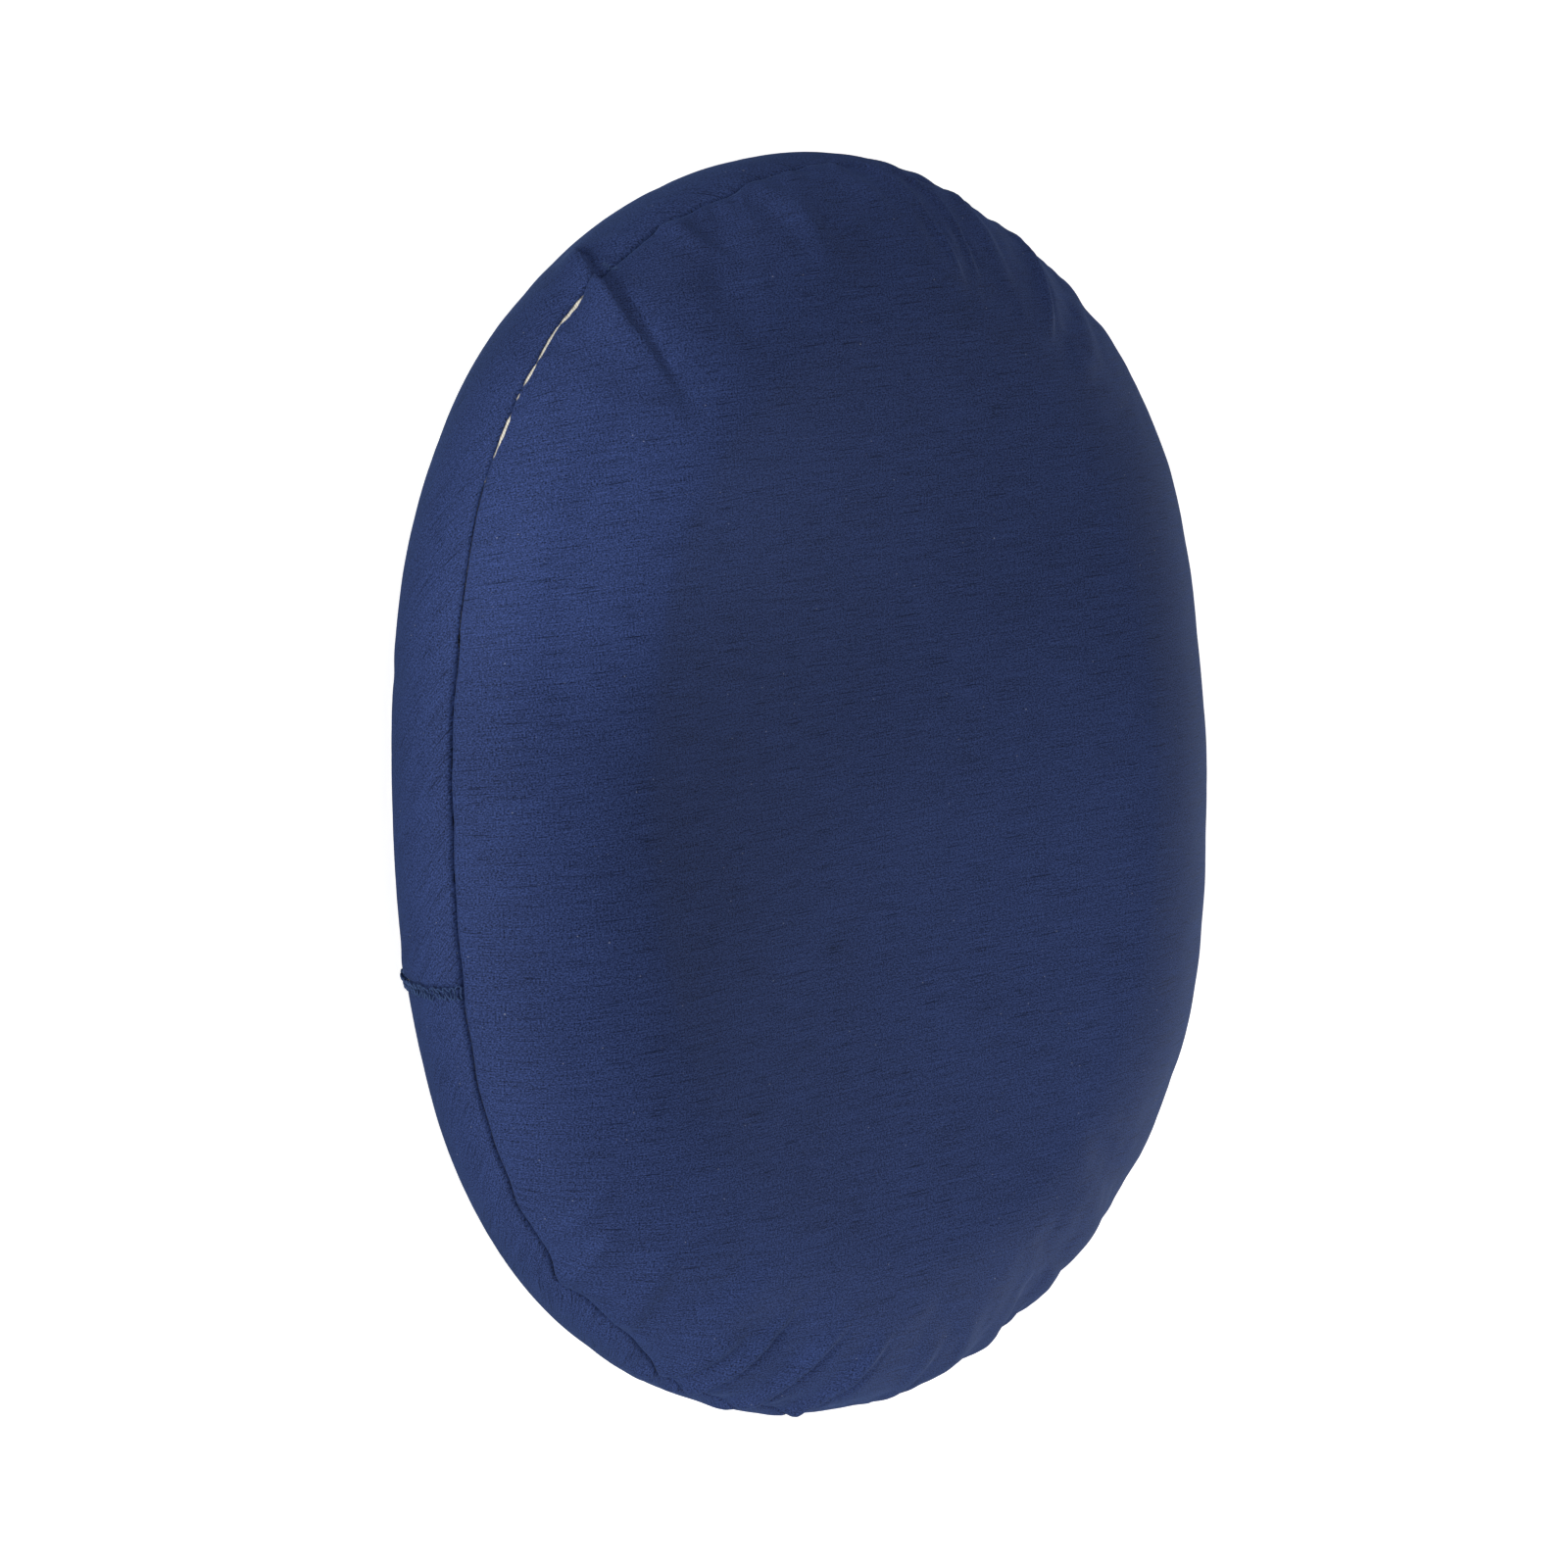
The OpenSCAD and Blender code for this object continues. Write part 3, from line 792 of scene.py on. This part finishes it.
def overlock_loops():
    """Loops of overlock thread across the band's join, drawn tight at the foot and loose at the top."""
    random = np.random.default_rng(17)
    paths = []
    d = -0.6 * MM
    turn = np.linspace(0, 2 * math.pi, 22)
    while d > band_d + 1.5 * MM:
        half_s = random.uniform(1.7, 2.3) * MM
        half_d = random.uniform(0.95, 1.25) * MM
        lean = random.normal(0.25, 0.25)
        ds, dd = half_s * np.sin(turn), half_d * np.cos(turn)
        s = JOIN_S + ds + random.normal(0, 0.15) * MM
        place = d + dd + lean * ds
        over_groove = join_groove(s) + 0.5 * MM + 0.45 * MM * np.cos(turn * 0.5) ** 2
        paths.append(on_fabric(s, place, band_lift(s, place) + over_groove, edge=-1))
        d -= random.uniform(1.9, 2.4) * MM
    return paths


def bar_tack(s0, d0, length, count, width):
    """A short bar of close zigzag stitches across the seam, about the point s0, d0."""
    paths = []
    for i in range(count):
        d = d0 + (np.array([0, 0.5, 1]) + i) / count * length - length / 2
        s = s0 + width / 2 * np.array([-1, 0, 1]) * (1 if i % 2 else -1)
        finer = np.linspace(0, 2, 7)
        paths.append(on_fabric(np.interp(finer, range(3), s), np.interp(finer, range(3), d), -0.1 * MM))
    return paths


TAPE_FROM, TAPE_TO = 950 * MM, 1024 * MM
TAPE_HALF = 1.6


def make_tape_edges(name):
    """The pale edges of the zip's tape, folded close under the two lips of the opening."""
    s = np.linspace(TAPE_FROM, TAPE_TO, 190)
    across = np.linspace(-TAPE_HALF, TAPE_HALF, 9) * MM
    points, faces = [], []
    for i, d in enumerate(across):
        ruffle = 0.12 * MM * waves(s, 41 + i // 3, 8, 120, 400)
        rounded = 0.2 * MM * (d / (TAPE_HALF * MM)) ** 2
        lift = relief(s, np.zeros_like(s)) - 0.25 * MM - rounded + ruffle
        points.append(on_cover(s, d + seam_step(s), lift))
        if i:
            faces += strip_faces(len(s), (i - 1) * len(s), i * len(s), wrap=False)
    return new_piece(name, np.concatenate(points), faces)


def make_label(name):
    """A blank woven label with a little wave, lying on the bottom panel inside the cover."""
    low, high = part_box("care_label")
    x = np.linspace(low[0], high[0], 22)
    y = np.linspace(low[1], high[1], 34)
    xx, yy = np.meshgrid(x, y)
    wave = np.sin(xx * 260 + 40 * yy) * np.cos(yy * 190)
    zz = low[2] + 0.12 * MM + 0.1 * MM * wave
    faces = []
    for j in range(len(y) - 1):
        faces += strip_faces(len(x), j * len(x), (j + 1) * len(x), wrap=False)
    piece = new_piece(name, np.stack([xx, yy, zz], -1).reshape(-1, 3), faces)
    piece.modifiers.new("thick", "SOLIDIFY").thickness = 0.2 * MM
    return piece


# --- Materials -----------------------------------------------------------------------------


class Shader:
    """A material's node tree, with short ways to add nodes and join them."""

    def __init__(self, name):
        self.material = bpy.data.materials.new(name)
        self.material.use_nodes = True
        self.tree = self.material.node_tree
        self.tree.nodes.clear()
        self.surface = self.add("ShaderNodeBsdfPrincipled")
        output = self.add("ShaderNodeOutputMaterial")
        self.join(self.surface.outputs["BSDF"], output.inputs["Surface"])

    def add(self, kind, **settings):
        node = self.tree.nodes.new(kind)
        for key, value in settings.items():
            setattr(node, key, value)
        return node

    def join(self, source, target):
        if isinstance(source, (int, float)):
            target.default_value = source
        elif isinstance(source, tuple):
            target.default_value = source if len(source) == len(target.default_value) else (*source, 1)
        else:
            self.tree.links.new(source, target)

    def maths(self, operation, a, b=0.0, c=0.0, clamp=False):
        node = self.add("ShaderNodeMath", operation=operation, use_clamp=clamp)
        for socket, value in zip(node.inputs, (a, b, c)):
            self.join(value, socket)
        return node.outputs[0]

    def spread(self, value, low, high, to_low=0.0, to_high=1.0):
        node = self.add("ShaderNodeMapRange", interpolation_type="SMOOTHSTEP")
        for socket, v in zip(node.inputs, (value, low, high, to_low, to_high)):
            self.join(v, socket)
        return node.outputs[0]

    def blend(self, share, a, b):
        node = self.add("ShaderNodeMix", data_type="RGBA")
        self.join(share, node.inputs[0])
        self.join(a, node.inputs[6])
        self.join(b, node.inputs[7])
        return node.outputs[2]

    def cloth(self, angle=0.0, scale=(1, 1)):
        """The cloth's own coordinates, turned by an angle and scaled along and across the streaks."""
        place = self.add("ShaderNodeAttribute", attribute_name="cloth")
        turn = self.add("ShaderNodeMapping")
        turn.inputs["Rotation"].default_value = (0, 0, angle)
        self.join(place.outputs["Vector"], turn.inputs["Vector"])
        stretch = self.add("ShaderNodeMapping")
        stretch.inputs["Scale"].default_value = (*scale, 1)
        self.join(turn.outputs[0], stretch.inputs["Vector"])
        return stretch.outputs[0]

    def noise(self, place, scale=1.0, detail=2.0, rough=0.5):
        node = self.add("ShaderNodeTexNoise")
        node.inputs["Scale"].default_value = scale
        node.inputs["Detail"].default_value = detail
        node.inputs["Roughness"].default_value = rough
        self.join(place, node.inputs["Vector"])
        return node.outputs[0]

    def bumped(self, height, strength, distance, under=None):
        node = self.add("ShaderNodeBump")
        node.inputs["Strength"].default_value = strength
        node.inputs["Distance"].default_value = distance
        self.join(height, node.inputs["Height"])
        if under is not None:
            self.join(under, node.inputs["Normal"])
        return node.outputs[0]

    def put(self, **sockets):
        for key, value in sockets.items():
            self.join(value, self.surface.inputs[key.replace("_", " ")])


def fabric(name, base, angle):
    """Plain-woven poly-cotton with slubs. The streaks run along the cloth's x axis, turned by angle."""
    m = Shader(name)
    dark = tuple(c * 0.12 for c in base)
    pale = tuple(c * 1.88 for c in base)
    streak = m.noise(m.cloth(angle, (48, 2200)), detail=2.0, rough=0.6)
    cross = m.noise(m.cloth(angle, (1500, 260)), detail=1.0)
    fine = m.noise(m.cloth(angle, (1700, 2100)), detail=1.0)
    slub = m.noise(m.cloth(angle, (75, 2300)), detail=0.0)
    cloud = m.noise(m.cloth(angle, (16, 24)), detail=3.0)
    speck = m.noise(m.cloth(angle, (900, 1300)), detail=0.0)
    share = m.maths("MULTIPLY_ADD", m.maths("SUBTRACT", fine, 0.5), 1.9, 0.5)
    share = m.maths("MULTIPLY_ADD", m.maths("SUBTRACT", streak, 0.5), 0.75, share)
    share = m.maths("MULTIPLY_ADD", m.maths("SUBTRACT", cross, 0.5), 0.3, share)
    share = m.maths("MULTIPLY_ADD", m.maths("SUBTRACT", cloud, 0.5), 0.15, share, clamp=True)
    colour = m.blend(share, dark, pale)
    colour = m.blend(m.spread(slub, 0.70, 0.82, 0.0, 0.75), colour, dark)
    colour = m.blend(m.spread(speck, 0.86, 0.90, 0.0, 0.5), colour, (0.35, 0.38, 0.45))
    m.put(Base_Color=colour)
    m.put(Roughness=m.spread(streak, 0.3, 0.7, 0.74, 0.86))
    m.put(Specular_IOR_Level=0.12, Sheen_Weight=0.16, Sheen_Roughness=0.4)
    m.surface.inputs["Sheen Tint"].default_value = (0.30, 0.50, 1.0, 1)
    crumple = m.noise(m.cloth(angle, (70, 85)), detail=2.0)
    threads = m.maths("ADD", fine, m.maths("MULTIPLY", slub, 0.7))
    normal = m.bumped(crumple, 0.4, 0.0006)
    m.put(Normal=m.bumped(threads, 0.5, 0.00018, under=normal))
    return m.material


def foam_material():
    """Open-celled foam, cream with paler patches."""
    m = Shader("moulded_foam")
    place = m.add("ShaderNodeTexCoord").outputs["Object"]
    cells = m.noise(place, 1600, detail=1.0)
    patches = m.noise(place, 30, detail=3.0)
    colour = m.blend(m.spread(patches, 0.3, 0.7), (0.80, 0.75, 0.58), (0.88, 0.84, 0.70))
    m.put(Base_Color=m.blend(m.spread(cells, 0.5, 0.75), colour, (0.62, 0.56, 0.40)), Roughness=0.95)
    m.put(Normal=m.bumped(cells, 0.6, 0.0006))
    return m.material


def thread_material(name, base, dark):
    """Spun thread: fine strands that twist along it."""
    m = Shader(name)
    place = m.add("ShaderNodeTexCoord").outputs["Object"]
    strands = m.noise(place, 5200, detail=1.0)
    m.put(Base_Color=m.blend(m.spread(strands, 0.35, 0.65), dark, base), Roughness=0.62)
    m.put(Specular_IOR_Level=0.2, Normal=m.bumped(strands, 0.7, 0.0001))
    return m.material


def ribbon_material(name, base, scale):
    """A narrow woven tape, with a herringbone-like rib. Its grooves are painted a shaded copy of the
    tape's colour, as painted shade, and the soil in patches uses the same colour.
    """
    m = Shader(name)
    place = m.add("ShaderNodeTexCoord").outputs["Object"]
    rib = m.add("ShaderNodeTexWave", wave_type="BANDS", bands_direction="DIAGONAL")
    rib.inputs["Scale"].default_value = scale / 2
    rib.inputs["Distortion"].default_value = 1.5
    m.join(place, rib.inputs["Vector"])
    soil = m.noise(place, 120, detail=3.0)
    # Painted shade: one shaded copy of the tape's colour, for the rib's grooves and also for the soil.
    shade_and_soil = tuple(c * 0.72 for c in base)
    colour = m.blend(m.spread(rib.outputs[1], 0.2, 0.8), shade_and_soil, base)
    m.put(Base_Color=m.blend(m.spread(soil, 0.45, 0.75, 0.0, 0.3), colour, shade_and_soil))
    m.put(Roughness=0.8)
    m.put(Sheen_Weight=0.2, Normal=m.bumped(rib.outputs[1], 0.5, 0.00012))
    return m.material


def nylon_material():
    """The zip's coil: turns of nylon along the row, with painted shade: the grooves between turns are
    painted a dimmer cream.
    """
    m = Shader("coil_nylon")
    place = m.add("ShaderNodeTexCoord").outputs["Object"]
    turns = m.add("ShaderNodeTexWave", wave_type="BANDS", bands_direction="Y")
    turns.inputs["Scale"].default_value = 260
    m.join(place, turns.inputs["Vector"])
    # Painted shade: where the bump sinks between turns, the colour goes to the dimmer cream.
    turn_groove_shade = m.spread(turns.outputs[1], 0.1, 0.9)
    m.put(Base_Color=m.blend(turn_groove_shade, (0.5, 0.48, 0.42), (0.80, 0.78, 0.71)))
    m.put(Roughness=0.38, Normal=m.bumped(turns.outputs[1], 1.0, 0.0004))
    return m.material


def metal_material():
    """Nickel plate, with faint wear."""
    m = Shader("nickel_plate")
    place = m.add("ShaderNodeTexCoord").outputs["Object"]
    wear = m.noise(place, 700, detail=3.0)
    m.put(Base_Color=m.blend(m.spread(wear, 0.4, 0.7), (0.62, 0.62, 0.60), (0.44, 0.44, 0.43)))
    m.put(Metallic=1.0)
    m.put(Roughness=m.spread(wear, 0.35, 0.7, 0.26, 0.42), Normal=m.bumped(wear, 0.15, 0.00008))
    return m.material


def paint_nodes(prefix, material):
    """Gives a material to each CAD node whose name starts with prefix."""
    for name, node_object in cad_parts.items():
        if name.startswith(prefix):
            node_object.data.materials.clear()
            node_object.data.materials.append(material)



# --- The pieces and what they stand for ----------------------------------------------------

NAVY = (0.0225, 0.0385, 0.117)
THREAD = (0.006, 0.010, 0.030)
THREAD_DARK = (0.0015, 0.0025, 0.007)
LOOPS = (0.050, 0.095, 0.225)
LOOPS_DARK = (0.018, 0.034, 0.095)
BAND_WEAVE_A = math.radians(40)
THREAD_R = 0.3 * MM
THREAD_BULGE = 0.3 * MM
LOOP_R = 0.27 * MM
TACK_R = 0.2 * MM
TACK_L, TACK_W, TACK_STITCHES = 6 * MM, 2 * MM, 15

top = make_panel("cover_top", 1)
top.data.materials.append(fabric("panel_fabric", NAVY, 0.0))
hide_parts("cover_top_panel")
band = make_band("cover_band")
band.data.materials.append(fabric("band_fabric", NAVY, BAND_WEAVE_A))
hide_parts("side_band")
bottom = make_panel("cover_bottom", -1)
bottom.data.materials.append(fabric("underside_fabric", NAVY, 0.0))
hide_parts("cover_bottom_panel")

foam = make_foam("foam_body")
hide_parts("foam_ring")
foam.data.materials.append(foam_material())

thread = thread_material("seam_thread", THREAD, THREAD_DARK)
loop_thread = thread_material("loop_thread", LOOPS, LOOPS_DARK)
top_threads = stitches(6 * MM, ZIP_END_S - 3 * MM, top_crease, THREAD_BULGE)
seam = threads_piece("top_seam_stitches", top_threads, THREAD_R)
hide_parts("top_seam_thread")
lower_threads = stitches(0, perimeter - 2 * MM, lower_crease_line, THREAD_BULGE)
lower = threads_piece("bottom_seam_stitches", lower_threads, THREAD_R)
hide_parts("bottom_seam_thread")
overlock = threads_piece("band_join_loops", overlock_loops(), LOOP_R)
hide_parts("band_join_overlock")
tack_threads = bar_tack(ZIP_END_S - 1 * MM, 0, TACK_L, TACK_STITCHES, TACK_W)
tack = threads_piece("zip_end_tack", tack_threads, TACK_R)
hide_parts("zip_end_bar_tack")
for piece in (seam, lower, overlock, tack):
    piece.data.materials.append(loop_thread if piece in (overlock, tack) else thread)

tape_edges = make_tape_edges("zip_tape_edges")
tape_edges.data.materials.append(ribbon_material("tape_edge", (0.74, 0.70, 0.60), 900))

label = make_label("care_label_ribbon")
label.data.materials.append(ribbon_material("label_ribbon", (0.85, 0.85, 0.83), 1400))
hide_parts("care_label")

paint_nodes("zip_tape_", ribbon_material("tape_weave", (0.78, 0.75, 0.67), 1200))
paint_nodes("zip_coil_", nylon_material())
paint_nodes("zip_stitching_", thread)
for metal_node in ("zip_end_stops", "zip_bottom_stop", "zip_slider", "slider_pin", "pull_tab"):
    paint_nodes(metal_node, metal_material())


# --- Camera, floor and light ---------------------------------------------------------------

YAW, PITCH, ROLL = (math.radians(a) for a in (43.08, 8.28, -2.92))
CAMERA_DISTANCE = 1.808
LENS = 129.3
SHIFT = (-0.0313, 0.0026)


def add_camera():
    """A long lens turned about the cushion's middle, with a slight roll."""
    back = Vector((-math.sin(YAW) * math.cos(PITCH), math.sin(PITCH), math.cos(YAW) * math.cos(PITCH)))
    right = Vector((0, 1, 0)).cross(back).normalized()
    up = back.cross(right)
    rolled_right = math.cos(ROLL) * right + math.sin(ROLL) * up
    rolled_up = math.cos(ROLL) * up - math.sin(ROLL) * right
    data = bpy.data.cameras.new("camera")
    data.lens = LENS
    data.shift_x, data.shift_y = SHIFT
    camera = bpy.data.objects.new("camera", data)
    turn = Matrix((rolled_right, rolled_up, back)).transposed().to_4x4()
    place = Vector((0, 0, cushion_h / 2)) + back * CAMERA_DISTANCE
    camera.matrix_world = Matrix.Translation(place) @ turn
    bpy.context.scene.collection.objects.link(camera)
    bpy.context.scene.camera = camera


FLOOR_HALF = 9
FLOOR_Z = -0.5 * MM


def add_floor():
    """A large plain white floor, just under the cushion, that throws no light back onto it."""
    corners = [(-1, -1), (1, -1), (1, 1), (-1, 1)]
    mesh = bpy.data.meshes.new("floor")
    mesh.from_pydata([(x * FLOOR_HALF, y * FLOOR_HALF, 0) for x, y in corners], [], [(0, 1, 2, 3)])
    floor = bpy.data.objects.new("floor", mesh)
    floor.location.z = FLOOR_Z
    bpy.context.scene.collection.objects.link(floor)
    m = Shader("floor")
    m.put(Base_Color=(0.8, 0.8, 0.8), Roughness=0.9, Emission_Color=(1, 1, 1), Emission_Strength=0.75)
    mesh.materials.append(m.material)
    floor.visible_diffuse = False
    floor.visible_glossy = False


LIGHT_DISTANCE = 1.8
LIGHT_SIZE = 1.1
SPOT_SOFTNESS = 0.03
WORLD_STRENGTH = 0.02
# Each soft light's name, azimuth, elevation and power. Azimuth 0 is +X and 90 is +Y, in degrees.
LIGHTS = [
    ("left", 180, 0.5, 43),
    ("lower_left", 210, 20, 11),
    ("below", 270, 20, 9),
    ("lower_right", 330, 10, 14),
    ("right", 0, 3, 5),
    ("above", 90, 30, 13),
    ("upper_right", 45, 30, 3),
    ("upper_left", 130, 5, 5),
]


def towards(azimuth, elevation):
    """The direction from the cushion to a light."""
    a, e = math.radians(azimuth), math.radians(elevation)
    return Vector((math.cos(a) * math.cos(e), math.sin(a) * math.cos(e), math.sin(e)))


def place_light(name, data, direction, target):
    """Stands a light off its target and turns it to face it."""
    light = bpy.data.objects.new(name, data)
    light.location = target + direction * LIGHT_DISTANCE
    light.rotation_euler = direction.to_track_quat("Z", "Y").to_euler()
    bpy.context.scene.collection.objects.link(light)


def add_light(name, azimuth, elevation, power):
    """A large square soft light."""
    data = bpy.data.lights.new(name, "AREA")
    data.size = LIGHT_SIZE
    data.energy = power
    place_light(name, data, towards(azimuth, elevation), Vector((0, 0, 0)))


def add_spot(name, azimuth, elevation, target, radius, power):
    """A soft-edged beam onto target, fading out at a radius from it."""
    data = bpy.data.lights.new(name, "SPOT")
    data.energy = power
    data.spot_size = 2 * math.atan(radius / LIGHT_DISTANCE)
    data.spot_blend = 1.0
    data.shadow_soft_size = SPOT_SOFTNESS
    place_light(name, data, towards(azimuth, elevation), Vector(target))


def add_world():
    """A faint even white light from all round."""
    world = bpy.data.worlds.new("studio")
    world.use_nodes = True
    background = world.node_tree.nodes["Background"]
    background.inputs["Color"].default_value = (1, 1, 1, 1)
    background.inputs["Strength"].default_value = WORLD_STRENGTH
    bpy.context.scene.world = world


add_camera()
add_floor()
for soft_light in LIGHTS:
    add_light(*soft_light)
add_spot("shoulder_spot", 180, 28, on_cover(1026 * MM, 50 * MM), 0.06, 72)
add_spot("foot_spot", 250, 60, (0.03, -0.15, cushion_h), 0.19, 38)
add_world()
bpy.context.scene.view_settings.view_transform = "Standard"
